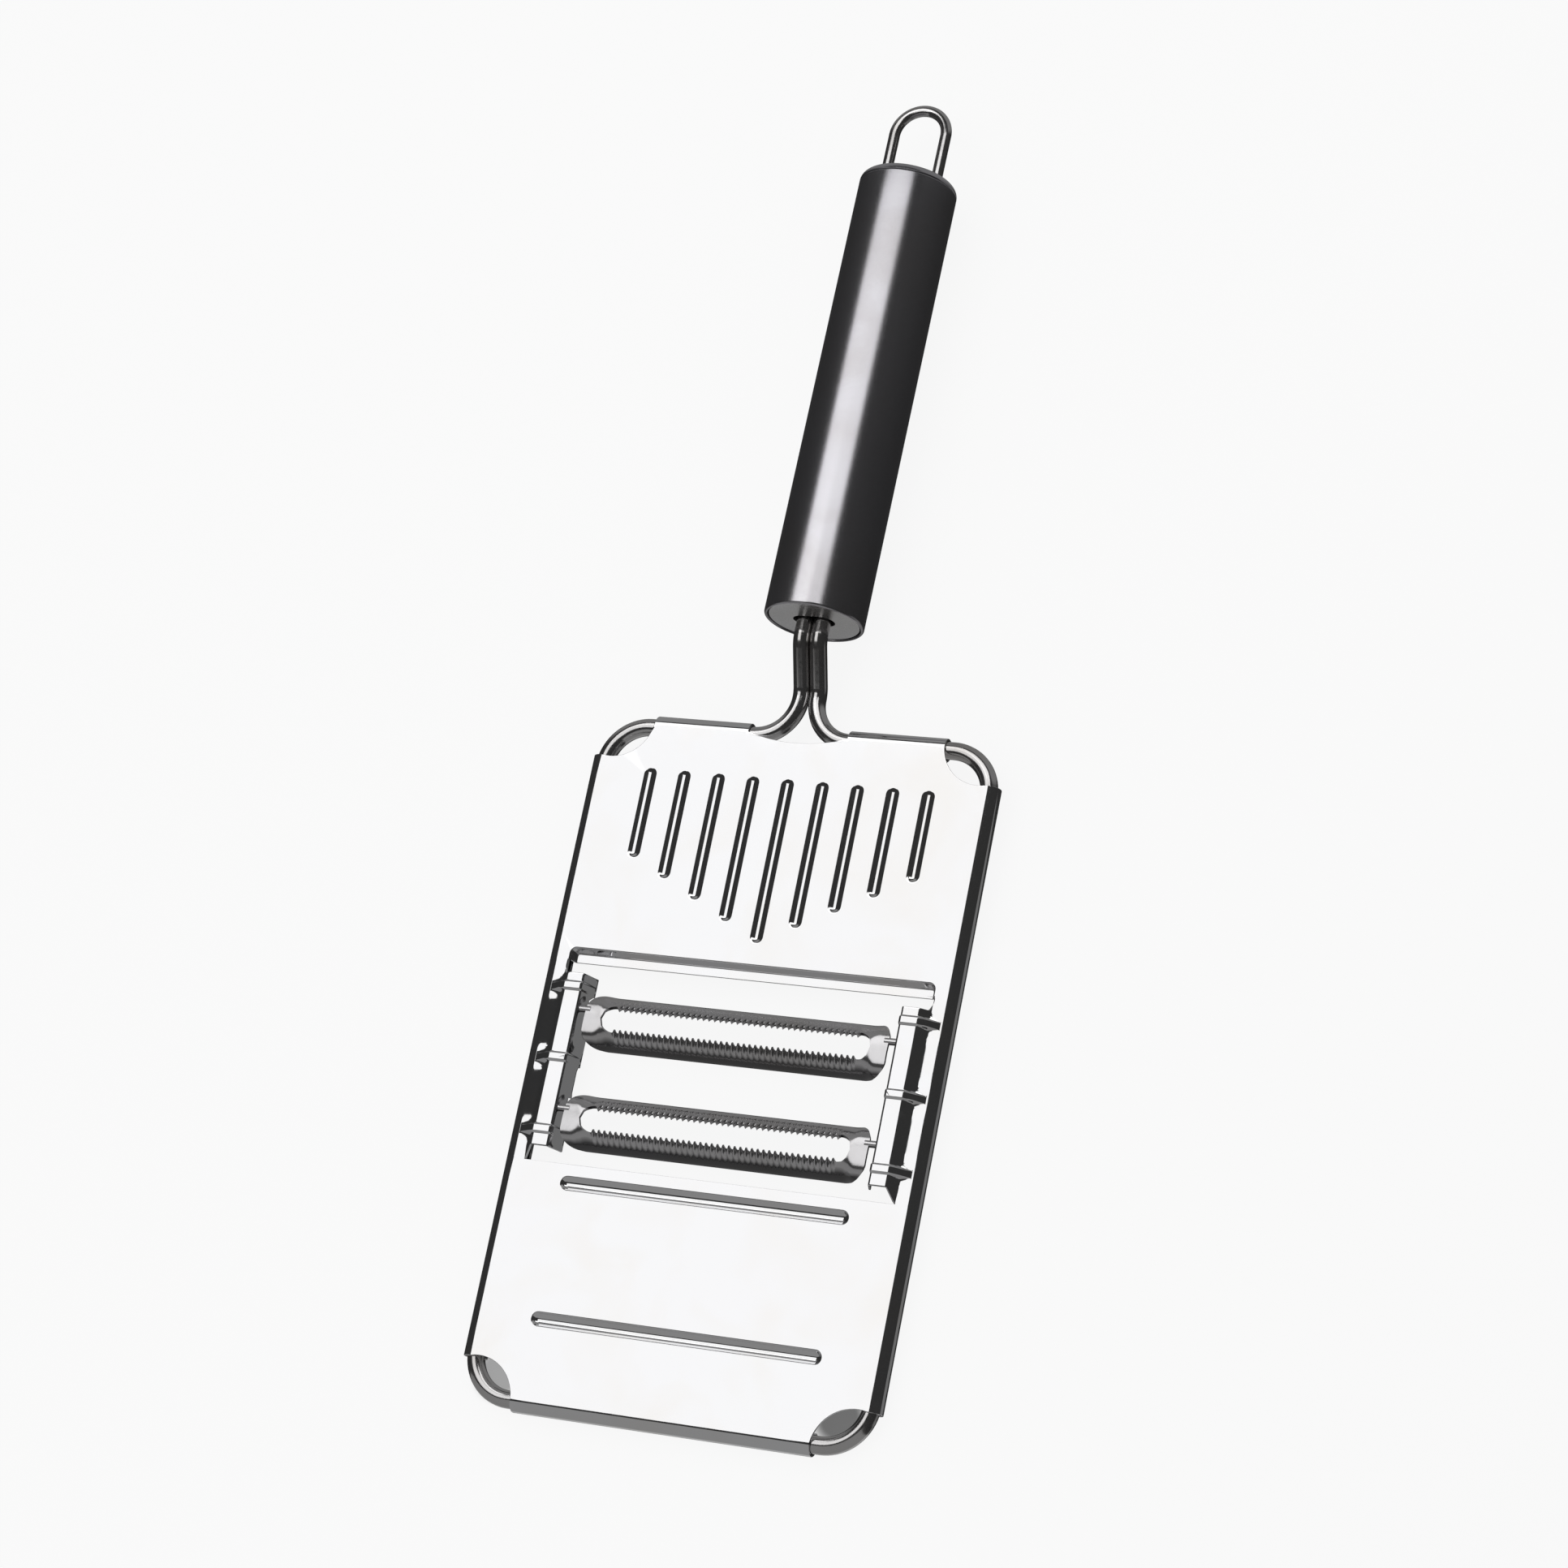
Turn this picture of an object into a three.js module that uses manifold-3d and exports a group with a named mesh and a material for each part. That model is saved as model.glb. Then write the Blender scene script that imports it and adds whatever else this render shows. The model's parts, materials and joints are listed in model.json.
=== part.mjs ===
// Hand-held frame slicer in stainless steel: a bent wire frame carries a stamped slicing plate with
// rolled edges, two toothed strip blades swivel in a window of the plate, and the ends of the wire
// run up a cranked neck into a hollow tube handle with a hanging loop.
//
// Millimetres. While the parts are made, X is across the plate, Y runs towards the handle, and Z is
// the plate's normal, with Z = 0 on the plate's upper face and Y = 0 at the plate's middle.

import * as THREE from 'three';
import { mergeVertices } from 'three/addons/utils/BufferGeometryUtils.js';
import Module from 'manifold-3d';

const wasm = await Module();
wasm.setup();

// ---------------------------------------------------------------- driving dimensions

const PLATE = {
  halfWidth: 47.17, // over the rolled edges
  halfLength: 77.09,
  sheet: 0.5,
  flat: 0.7, // narrow land outside the bracket wall
};

const WIRE = {
  radius: 1.9,
  bend: 9.5, // centre-line radius of the four frame corners
  clearance: 0.15, // between the wire and the sheet rolled round it
};

// The sheet leaves the plate's face at one angle round the wire and ends, curled under, at another.
const ROLL = { start: THREE.MathUtils.degToRad(92), end: THREE.MathUtils.degToRad(-165) };

const CORNER_NOTCH = { radius: 9, x: 42.6, y: 75.6 };
const NECK_NOTCH = { halfWidth: 11.5, depth: 1.75 };

const GROOVE = { width: 3.6, depth: 1.3 };
const LONG_GROOVES = { count: 9, pitch: 8.06, top: 65, shortest: 21.2, step: 4.1 };
const CROSS_GROOVES = { halfLength: 33, y: [-28.2, -57.4] };

const WINDOW = { halfWidth: 41.3, top: 23.1, bottom: -24.1 };
const STEP_DOWN = { depth: 2.4, run: 1.0, lip: 20.2 };

const BRACKET = {
  top: 16.9,
  bottom: -21.3,
  height: 2.6, // of its crown over the plate
  wallFoot: 41.8,
  crownOuter: 40.1,
  crownInner: 36.4,
  flangeFoot: 34.9,
  flangeDepth: 2.4, // below the plate
  beads: [14, -1.8, -17.6],
  beadWidth: 1.8,
  beadHeight: 0.35,
  // Cut-outs in the inner flange, up to a height. Between them hang its lugs.
  reliefs: [
    { low: 4.4, high: 11.8, height: -0.9 },
    { low: -8.6, high: -3.8, height: -1.7 },
    { low: -16.2, high: -9.4, height: -0.9 },
  ],
  reliefCorner: 1,
};

const BLADE = {
  halfLength: 34.6,
  radius: 6.2, // outer face of the arch
  strip: 0.8,
  halfArc: THREE.MathUtils.degToRad(75),
  cornerRadius: 3.6,
  pinAngle: THREE.MathUtils.degToRad(20), // from the crown of the arch, towards the handle
  pinRadius: 0.75,
  pinEnd: 37.2,
  pinHeight: 1.0,
  pivots: { upper_blade: 9.4, lower_blade: -12.5 },
};
const SLOT = { halfLength: 30.8, teeth: 43, pitch: 1.3, toothDepth: 1.1, upperTip: 2.3, lowerTip: -1.7 };

const PIN_HOLE_RADIUS = 0.95;

const HANDLE = {
  radius: 11,
  wall: 0.8,
  length: 106.35,
  foot: 99.03, // where the neck enters
  axisHeight: 3.45,
  droop: 0.03, // radians, the far end lies lower
  rim: 0.6,
  dome: 2,
  capSeam: 0.15,
};
const FRONT_CAP = { thickness: 1.2, setBack: 0.3, wireClearance: 0.45 };
const REAR_SPIGOT = 3;

const NECK = { halfGap: 1.95, upperBend: 95, lowerBend: 85.2, bend: 5, flare: 9.2, tail: 26 };
const LOOP = { radius: 1.25, halfWidth: 6.13, reach: 18.3, tail: 9 };

// Sheet-metal solids that are joined run this far into each other.
const OVERLAP = 0.3;

// ---------------------------------------------------------------- making solids

function solid(geometry) {
  const bare = geometry.clone();
  bare.deleteAttribute('normal');
  bare.deleteAttribute('uv');
  const merged = mergeVertices(bare, 1e-4);
  return new wasm.Manifold(new wasm.Mesh({
    numProp: 3,
    vertProperties: new Float32Array(merged.attributes.position.array),
    triVerts: new Uint32Array(merged.index.array),
  }));
}

function geometryOf(manifold) {
  const mesh = manifold.getMesh();
  const geometry = new THREE.BufferGeometry();
  geometry.setAttribute('position', new THREE.BufferAttribute(mesh.vertProperties, 3));
  geometry.setIndex(new THREE.BufferAttribute(mesh.triVerts, 1));
  geometry.computeVertexNormals();
  return geometry;
}

function named(name, geometry, material) {
  const mesh = new THREE.Mesh(geometry, material);
  mesh.name = name;
  return mesh;
}

const steel = (colour, roughness) => new THREE.MeshStandardMaterial({
  color: colour,
  roughness,
  metalness: 1,
});

// An outline in XY, raised from low to high along Z.
function prismZ(shape, low, high, curveSegments = 8) {
  const geometry = new THREE.ExtrudeGeometry(shape, {
    depth: high - low,
    bevelEnabled: false,
    curveSegments,
  });
  return solid(geometry.translate(0, 0, low));
}

// A section given as [y, z] points, run along X from low to high.
function prismX(points, low, high) {
  const shape = new THREE.Shape(points.map(([y, z]) => new THREE.Vector2(y, z)));
  const geometry = new THREE.ExtrudeGeometry(shape, { depth: high - low, bevelEnabled: false });
  const toX = new THREE.Matrix4().makeBasis(
    new THREE.Vector3(0, 1, 0),
    new THREE.Vector3(0, 0, 1),
    new THREE.Vector3(1, 0, 0),
  );
  return solid(geometry.applyMatrix4(toX).translate(low, 0, 0));
}

// A section given as [x, z] points, run along Y from low to high.
function prismY(points, low, high) {
  const shape = new THREE.Shape(points.map(([x, z]) => new THREE.Vector2(x, z)));
  const geometry = new THREE.ExtrudeGeometry(shape, { depth: high - low, bevelEnabled: false });
  geometry.rotateX(Math.PI / 2);
  return solid(geometry.translate(0, high, 0));
}

function union(solids) {
  return solids.reduce((whole, piece) => whole.add(piece));
}

const mirrored = (piece) => piece.mirror([1, 0, 0]);

// A round-ended slot outline along X or Y.
function capsule(length, width, alongX) {
  const radius = width / 2;
  const reach = length / 2 - radius;
  const shape = new THREE.Shape();
  if (alongX) {
    shape.absarc(reach, 0, radius, -Math.PI / 2, Math.PI / 2);
    shape.absarc(-reach, 0, radius, Math.PI / 2, 1.5 * Math.PI);
  } else {
    shape.absarc(0, reach, radius, 0, Math.PI);
    shape.absarc(0, -reach, radius, Math.PI, 2 * Math.PI);
  }
  return shape;
}

// Points on an arc of a circle, from one angle to another.
function arc(x, y, radius, from, to, steps) {
  return Array.from({ length: steps + 1 }, (_, i) => {
    const angle = from + ((to - from) * i) / steps;
    return [x + radius * Math.cos(angle), y + radius * Math.sin(angle)];
  });
}

function circle(x, y, radius, sides) {
  return arc(x, y, radius, 0, 2 * Math.PI, sides).slice(0, sides);
}

// A strip of sheet metal seen end-on: a bent line with the sheet's thickness on its right-hand side.
function sheetSection(line, thickness) {
  const points = line.map(([x, z]) => new THREE.Vector2(x, z));
  const sides = points.slice(1).map((point, i) => {
    const along = point.clone().sub(points[i]).normalize();
    return new THREE.Vector2(along.y, -along.x);
  });
  const offset = points.map((point, i) => {
    const before = sides[Math.max(i - 1, 0)];
    const after = sides[Math.min(i, sides.length - 1)];
    const mitre = before.clone().add(after);
    return point.clone().addScaledVector(mitre, (2 * thickness) / mitre.lengthSq());
  });
  return [...points, ...offset.reverse()].map((point) => [point.x, point.y]);
}

// A rod bent at the corners of a line of points. Each straight takes one step of the sweep and each
// bend an equal number, so the curve is asked for its points by step and not by arc length.
class BentRod extends THREE.Curve {
  constructor(corners, bendStep) {
    super();
    this.points = [];
    this.tangents = [];
    corners.forEach(({ at, bend }, i) => {
      const into = i > 0 ? at.clone().sub(corners[i - 1].at).normalize() : null;
      const out = i < corners.length - 1 ? corners[i + 1].at.clone().sub(at).normalize() : null;
      if (!into || !out) {
        this.add(at, into ?? out);
        return;
      }
      const turn = into.angleTo(out);
      const inset = bend * Math.tan(turn / 2);
      const start = at.clone().addScaledVector(into, -inset);
      const side = out.clone().addScaledVector(into, -into.dot(out)).normalize();
      const steps = Math.max(2, Math.ceil(turn / bendStep));
      for (let step = 0; step <= steps; step += 1) {
        const angle = (turn * step) / steps;
        const point = start.clone()
          .addScaledVector(into, bend * Math.sin(angle))
          .addScaledVector(side, bend * (1 - Math.cos(angle)));
        const tangent = into.clone().multiplyScalar(Math.cos(angle))
          .addScaledVector(side, Math.sin(angle));
        this.add(point, tangent);
      }
    });
  }

  add(point, tangent) {
    this.points.push(point.clone());
    this.tangents.push(tangent.clone());
  }

  get steps() {
    return this.points.length - 1;
  }

  sample(list, t) {
    const place = t * this.steps;
    const i = Math.min(Math.floor(place + 1e-9), this.steps - 1);
    return list[i].clone().lerp(list[i + 1], place - i);
  }

  getPoint(t) {
    return this.sample(this.points, t);
  }

  getPointAt(u) {
    return this.getPoint(u);
  }

  getTangent(t) {
    return this.sample(this.tangents, t).normalize();
  }

  getTangentAt(u) {
    return this.getTangent(u);
  }
}

function rod(corners, radius, sides, bendStep) {
  const path = new BentRod(corners, bendStep);
  const section = new THREE.Shape(
    circle(0, 0, radius, sides).map(([x, y]) => new THREE.Vector2(x, y)),
  );
  return new THREE.ExtrudeGeometry(section, { steps: path.steps, extrudePath: path });
}

// A turned piece about the handle's axis, which is local Y. The profile is [radius, y] points.
function turned(profile, segments = 32) {
  return new THREE.LatheGeometry(profile.map(([r, y]) => new THREE.Vector2(r, y)), segments);
}

// ---------------------------------------------------------------- wire frame

const rollInner = WIRE.radius + WIRE.clearance;
const rollOuter = rollInner + PLATE.sheet;
const wireX = PLATE.halfWidth - rollOuter;
const wireY = PLATE.halfLength - rollOuter;
const wireZ = -rollOuter;

const handleHeightAt = (y) => HANDLE.axisHeight - HANDLE.droop * (y - HANDLE.foot);

function wireFrame() {
  const place = (x, y, z, bend = WIRE.bend) => ({ at: new THREE.Vector3(x, y, z), bend });
  const tailEnd = HANDLE.foot + NECK.tail;
  const leg = (side) => [
    place(side * NECK.halfGap, tailEnd, handleHeightAt(tailEnd)),
    place(side * NECK.halfGap, NECK.upperBend, handleHeightAt(NECK.upperBend), NECK.bend),
    place(side * NECK.halfGap, NECK.lowerBend, wireZ, NECK.bend),
    place(side * NECK.halfGap, wireY, wireZ, NECK.flare),
    place(side * wireX, wireY, wireZ),
    place(side * wireX, -wireY, wireZ),
  ];
  const corners = [...leg(-1), ...leg(1).reverse()];
  return rod(corners, WIRE.radius, 12, THREE.MathUtils.degToRad(15));
}

// ---------------------------------------------------------------- slicing plate

// The flat of the plate, out to the lines where the edges start to roll, with a round notch at each
// corner and a shallow scallop where the wires leave for the neck.
function plateOutline() {
  const { radius, x, y } = CORNER_NOTCH;
  const sideAngle = Math.acos((wireX - x) / radius);
  const endAngle = Math.asin((y - wireY) / radius);
  const notch = (signX, signY) => {
    const points = arc(0, 0, radius, sideAngle, Math.PI - endAngle, 8);
    return points.map(([px, py]) => [signX * (x + px), signY * (y - py)]);
  };
  const half = NECK_NOTCH.halfWidth;
  const sag = NECK_NOTCH.depth;
  const scallopRadius = (half * half + sag * sag) / (2 * sag);
  const spread = Math.asin(half / scallopRadius);
  const scallop = arc(
    0, wireY + scallopRadius - sag, scallopRadius, -Math.PI / 2 + spread, -Math.PI / 2 - spread, 8,
  );
  const outline = [
    ...notch(1, -1).reverse(),
    ...notch(1, 1),
    ...scallop,
    ...notch(-1, 1).reverse(),
    ...notch(-1, -1),
  ];
  return new THREE.Shape(outline.map(([px, py]) => new THREE.Vector2(px, py)));
}

// The end of a rolled edge: sheet curled from the plate's face round the wire and back under it.
function rollSection() {
  const { start, end } = ROLL;
  const steps = 16;
  return [
    ...arc(0, wireZ, rollOuter, start, end, steps),
    ...arc(0, wireZ, rollInner, end, start, steps),
  ];
}

function rolledEdges() {
  const section = rollSection();
  const sideEnd = CORNER_NOTCH.y - CORNER_NOTCH.radius;
  const endEnd = CORNER_NOTCH.x - CORNER_NOTCH.radius;
  const right = prismY(section.map(([x, z]) => [x + wireX, z]), -sideEnd, sideEnd);
  const near = prismX(section.map(([x, z]) => [-x - wireY, z]).reverse(), -endEnd, endEnd);
  const far = prismX(section.map(([x, z]) => [x + wireY, z]), NECK_NOTCH.halfWidth, endEnd);
  return union([right, mirrored(right), near, far, mirrored(far)]);
}

// One stamped groove: a trough below the plate, open at the top.
function groove(x, y, length, alongX) {
  const trough = prismZ(capsule(length, GROOVE.width, alongX), -GROOVE.depth, -0.1, 6);
  const inner = GROOVE.width - 2 * PLATE.sheet;
  const hollowLength = length - 2 * PLATE.sheet;
  const hollow = prismZ(capsule(hollowLength, inner, alongX), -GROOVE.depth + PLATE.sheet, 1, 6);
  return { trough: trough.translate([x, y, 0]), hollow: hollow.translate([x, y, 0]) };
}

function grooves() {
  const middle = (LONG_GROOVES.count - 1) / 2;
  const long = Array.from({ length: LONG_GROOVES.count }, (_, i) => {
    const length = LONG_GROOVES.shortest + LONG_GROOVES.step * (middle - Math.abs(i - middle));
    return groove((i - middle) * LONG_GROOVES.pitch, LONG_GROOVES.top - length / 2, length, false);
  });
  const cross = CROSS_GROOVES.y.map((y) => groove(0, y, 2 * CROSS_GROOVES.halfLength, true));
  return [...long, ...cross];
}

// The lip at the handle side of the window: a short ramp down from the plate, a level strip below
// it, and a riser at each end.
function windowLip() {
  const { depth, run, lip } = STEP_DOWN;
  const line = [[WINDOW.top + 1, 0], [WINDOW.top, 0], [WINDOW.top - run, -depth], [lip, -depth]];
  const section = sheetSection(line.reverse(), PLATE.sheet);
  const ramp = prismX(section, -WINDOW.halfWidth - OVERLAP, WINDOW.halfWidth + OVERLAP);
  const riser = prismY([
    [WINDOW.halfWidth, -depth - PLATE.sheet],
    [WINDOW.halfWidth + PLATE.sheet, -depth - PLATE.sheet],
    [WINDOW.halfWidth + PLATE.sheet, 0],
    [WINDOW.halfWidth, 0],
  ], BRACKET.top - OVERLAP, WINDOW.top + OVERLAP);
  return union([ramp, riser, mirrored(riser)]);
}

// One blade bracket, on the +X side: a channel pressed up from the plate along the window, with three
// beads across it, and an inner flange with lugs at its ends and middle and a hole for each pin.
function bracket() {
  const b = BRACKET;
  const line = [
    [b.flangeFoot, -b.flangeDepth],
    [b.crownInner, b.height],
    [b.crownOuter, b.height],
    [b.wallFoot, 0],
    [b.wallFoot + PLATE.flat, 0],
  ];
  const channel = prismY(sheetSection(line, PLATE.sheet), b.bottom, b.top);

  const beadLine = [
    [b.crownInner - b.beadHeight, b.height - b.beadHeight],
    [b.crownInner, b.height + b.beadHeight],
    [b.crownOuter, b.height + b.beadHeight],
    [wireX - OVERLAP, 0],
  ];
  const beadSection = [
    ...beadLine,
    [b.wallFoot - OVERLAP, -OVERLAP],
    [b.crownOuter - OVERLAP, b.height - OVERLAP],
  ];
  const beads = b.beads.map((y) => (
    prismY(beadSection, y - b.beadWidth / 2, y + b.beadWidth / 2)
  ));

  const inside = b.flangeFoot - 1;
  const outside = b.crownInner + 1;
  const reliefs = b.reliefs.map(({ low, high, height }) => prismX([
    [low - b.reliefCorner, -b.flangeDepth - 1],
    [high + b.reliefCorner, -b.flangeDepth - 1],
    [high + b.reliefCorner, -b.flangeDepth + b.reliefCorner / 2],
    [high, height],
    [low, height],
    [low - b.reliefCorner, -b.flangeDepth + b.reliefCorner / 2],
  ], inside, outside));

  const holes = Object.values(BLADE.pivots).map((y) => (
    prismX(circle(y, BLADE.pinHeight, PIN_HOLE_RADIUS, 14), inside, outside)
  ));
  return channel.subtract(union(reliefs)).subtract(union(holes)).add(union(beads));
}

function slicerPlate() {
  const windowCut = new THREE.Shape([
    new THREE.Vector2(-WINDOW.halfWidth, WINDOW.bottom),
    new THREE.Vector2(WINDOW.halfWidth, WINDOW.bottom),
    new THREE.Vector2(WINDOW.halfWidth, WINDOW.top),
    new THREE.Vector2(-WINDOW.halfWidth, WINDOW.top),
  ]);
  const stamped = grooves();
  const flat = prismZ(plateOutline(), -PLATE.sheet, 0).subtract(prismZ(windowCut, -1, 1));
  const side = bracket();
  return flat
    .add(rolledEdges())
    .add(windowLip())
    .add(side)
    .add(mirrored(side))
    .add(union(stamped.map((one) => one.trough)))
    .subtract(union(stamped.map((one) => one.hollow)));
}

// ---------------------------------------------------------------- blades

// The opening in a blade, seen from above: two rows of teeth that face each other, and round ends.
function slotOutline() {
  const { halfLength, teeth, pitch, toothDepth, upperTip, lowerTip } = SLOT;
  const toothed = (teeth * pitch) / 2;
  const row = (tip, root) => Array.from({ length: 2 * teeth + 1 }, (_, i) => (
    [-toothed + (i * pitch) / 2, i % 2 === 0 ? root : tip]
  ));
  const upper = row(upperTip, upperTip + toothDepth);
  const lower = row(lowerTip, lowerTip - toothDepth);
  const middle = (upperTip + lowerTip) / 2;
  const width = upperTip - lowerTip + 2 * toothDepth;
  const roundEnd = (side) => Array.from({ length: 5 }, (_, i) => {
    const angle = Math.PI * ((i + 1) / 6 - 0.5);
    return [
      side * (toothed + (halfLength - toothed) * Math.cos(angle)),
      middle + (side * width * Math.sin(angle)) / 2,
    ];
  });
  const outline = [...lower, ...roundEnd(1), ...upper.reverse(), ...roundEnd(-1)];
  return new THREE.Shape(outline.map(([x, y]) => new THREE.Vector2(x, y)));
}

function bladeOutline(halfSpan) {
  const { halfLength, cornerRadius: r } = BLADE;
  const shape = new THREE.Shape();
  shape.absarc(halfLength - r, halfSpan - r, r, 0, Math.PI / 2);
  shape.absarc(-halfLength + r, halfSpan - r, r, Math.PI / 2, Math.PI);
  shape.absarc(-halfLength + r, -halfSpan + r, r, Math.PI, 1.5 * Math.PI);
  shape.absarc(halfLength - r, -halfSpan + r, r, 1.5 * Math.PI, 2 * Math.PI);
  return shape;
}

// A strip arched about X, with a toothed slot along it and a pin at each end. It is made about the
// centre of its arch and then moved so that the pins' axis is at the origin.
function blade() {
  const inner = BLADE.radius - BLADE.strip;
  const crown = Math.PI / 2;
  const section = [
    ...arc(0, 0, BLADE.radius, crown - BLADE.halfArc, crown + BLADE.halfArc, 14),
    ...arc(0, 0, inner, crown + BLADE.halfArc, crown - BLADE.halfArc, 14),
  ];
  const halfSpan = BLADE.radius * Math.sin(BLADE.halfArc);
  const arch = prismX(section, -BLADE.halfLength, BLADE.halfLength)
    .intersect(prismZ(bladeOutline(halfSpan), 0, BLADE.radius + 1, 6))
    .subtract(prismZ(slotOutline(), inner / 2, BLADE.radius + 1));

  const pinOrbit = inner + BLADE.strip / 2;
  const pinY = pinOrbit * Math.sin(BLADE.pinAngle);
  const pinZ = pinOrbit * Math.cos(BLADE.pinAngle);
  const round = circle(pinY, pinZ, BLADE.pinRadius, 12);
  const pin = prismX(round, BLADE.halfLength - 1, BLADE.pinEnd);
  return arch.add(pin).add(mirrored(pin)).translate([0, -pinY, -pinZ]);
}

// ---------------------------------------------------------------- handle

// Profiles are [radius, y] from the neck end of the handle, in its own frame.
function handleTube() {
  const { radius, wall, length, rim, dome, capSeam } = HANDLE;
  const end = length - dome - capSeam;
  return turned([
    [radius - wall, 0],
    ...arc(radius - rim, rim, rim, -Math.PI / 2, 0, 3),
    [radius, end],
    [radius - wall, end],
    [radius - wall, 0],
  ]);
}

function turnedWithHoles(profile, holes) {
  return holes.reduce((piece, hole) => piece.subtract(hole), solid(turned(profile)));
}

// A hole along Y through an end cap.
function holeAlongY(shape, low, high) {
  const geometry = new THREE.ExtrudeGeometry(shape, {
    depth: high - low,
    bevelEnabled: false,
    curveSegments: 6,
  });
  geometry.rotateX(Math.PI / 2);
  return solid(geometry.translate(0, high, 0));
}

// A disc pressed into the neck end, with one round-ended hole for the pair of wires.
function frontCap() {
  const radius = HANDLE.radius - HANDLE.wall - HANDLE.capSeam;
  const outside = FRONT_CAP.setBack;
  const inside = outside + FRONT_CAP.thickness;
  const holeHeight = 2 * (WIRE.radius + FRONT_CAP.wireClearance);
  const slot = capsule(2 * NECK.halfGap + holeHeight, holeHeight, true);
  const disc = [[0, outside], [radius, outside], [radius, inside], [0, inside]];
  return turnedWithHoles(disc, [holeAlongY(slot, outside - 1, inside + 1)]);
}

// The closing cap at the loop end: a rounded button with a spigot inside the tube.
function rearCap() {
  const { radius, wall, length, dome, capSeam } = HANDLE;
  const spigot = radius - wall - capSeam;
  const base = length - dome;
  const profile = [
    [0, base - REAR_SPIGOT],
    [spigot, base - REAR_SPIGOT],
    [spigot, base],
    [radius, base],
    ...arc(radius - dome, base, dome, Math.PI / 8, Math.PI / 2, 3),
    [0, length],
  ];
  const leg = new THREE.Shape();
  leg.absarc(LOOP.halfWidth, 0, LOOP.radius + capSeam, 0, 2 * Math.PI);
  const hole = holeAlongY(leg, base - REAR_SPIGOT - 1, length + 1);
  return turnedWithHoles(profile, [hole, mirrored(hole)]);
}

function hangingLoop() {
  const top = HANDLE.length + LOOP.reach;
  const foot = HANDLE.length - LOOP.tail;
  const corner = (x, y) => ({ at: new THREE.Vector3(x, y, 0), bend: LOOP.halfWidth - 0.01 });
  const x = LOOP.halfWidth;
  const corners = [corner(-x, foot), corner(-x, top), corner(x, top), corner(x, foot)];
  return rod(corners, LOOP.radius, 10, THREE.MathUtils.degToRad(18));
}

// ---------------------------------------------------------------- assembly

const frameSteel = steel(0x8d8d90, 0.18);
const mirrorSteel = steel(0xdededf, 0.08);
const bladeSteel = steel(0x77757a, 0.28);
const brushedSteel = steel(0x6e6b70, 0.42);
const capSteel = steel(0x8f8e93, 0.38);

const slicer = new THREE.Group();
slicer.add(named('wire_frame', wireFrame(), frameSteel));
slicer.add(named('slicer_plate', geometryOf(slicerPlate()), mirrorSteel));

for (const [name, pivotY] of Object.entries(BLADE.pivots)) {
  const strip = named(name, geometryOf(blade()), bladeSteel);
  strip.position.set(0, pivotY, BLADE.pinHeight);
  slicer.add(strip);
}

const handle = new THREE.Group();
handle.position.set(0, HANDLE.foot, HANDLE.axisHeight);
handle.rotation.x = -HANDLE.droop;
handle.add(named('handle_tube', handleTube(), brushedSteel));
handle.add(named('handle_front_cap', geometryOf(frontCap()), capSteel));
handle.add(named('handle_rear_cap', geometryOf(rearCap()), brushedSteel));
handle.add(named('hanging_loop', hangingLoop(), frameSteel));
slicer.add(handle);

// The finished part lies as it does on a table, on the handle's far rim and the plate's far edge, with
// the middle of its base at the origin.
const rimY = HANDLE.foot + HANDLE.length - HANDLE.dome;
const rimZ = handleHeightAt(rimY) - HANDLE.radius;
slicer.rotation.x = Math.atan2(-2 * rollOuter - rimZ, rimY + wireY);
slicer.updateMatrixWorld(true);
const bounds = new THREE.Box3().setFromObject(slicer, true);
const middle = bounds.getCenter(new THREE.Vector3());
slicer.position.set(-middle.x, -middle.y, -bounds.min.z);

export default slicer;
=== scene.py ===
"""Looks of a hand-held frame slicer in stainless steel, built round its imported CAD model.

Shapes are worked out in millimetres in the slicer's own frame: X across the plate, Y towards the
handle, Z the plate's normal, with the origin on the plate's upper face. TO_ROW takes them to the
frame of the CAD model, in metres.
"""

import json
import math

import bmesh
import bpy
from mathutils import Euler, Matrix, Vector
from mathutils.geometry import delaunay_2d_cdt


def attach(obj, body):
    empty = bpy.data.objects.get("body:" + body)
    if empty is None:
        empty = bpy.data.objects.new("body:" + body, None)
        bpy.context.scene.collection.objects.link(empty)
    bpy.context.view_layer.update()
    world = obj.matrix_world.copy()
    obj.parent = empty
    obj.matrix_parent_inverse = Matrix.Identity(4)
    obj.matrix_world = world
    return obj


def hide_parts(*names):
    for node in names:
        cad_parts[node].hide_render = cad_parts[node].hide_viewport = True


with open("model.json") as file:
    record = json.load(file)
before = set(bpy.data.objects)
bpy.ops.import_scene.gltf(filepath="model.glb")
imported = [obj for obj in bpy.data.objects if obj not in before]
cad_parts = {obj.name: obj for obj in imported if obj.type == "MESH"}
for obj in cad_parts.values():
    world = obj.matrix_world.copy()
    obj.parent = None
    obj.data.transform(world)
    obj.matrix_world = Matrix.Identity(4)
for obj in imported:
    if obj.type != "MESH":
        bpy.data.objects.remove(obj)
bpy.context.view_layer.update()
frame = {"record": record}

# ------------------------------------------------------------------ sizes, in millimetres

SHEET = 0.5
HALF_WIDTH = 47.16
HALF_LENGTH = 77.07
WIRE_RADIUS = 1.9
CORNER_BEND = 9.5
ROLL_RADIUS = 2.548
WIRE_X = HALF_WIDTH - ROLL_RADIUS
WIRE_Y = HALF_LENGTH - ROLL_RADIUS
WIRE_Z = -ROLL_RADIUS
ROLL_END = -165
CORNER_NOTCH = {"x": 42.6, "y": 75.6, "radius": 9}
NECK_NOTCH = {"half": 11.5, "depth": 1.75}

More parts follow.
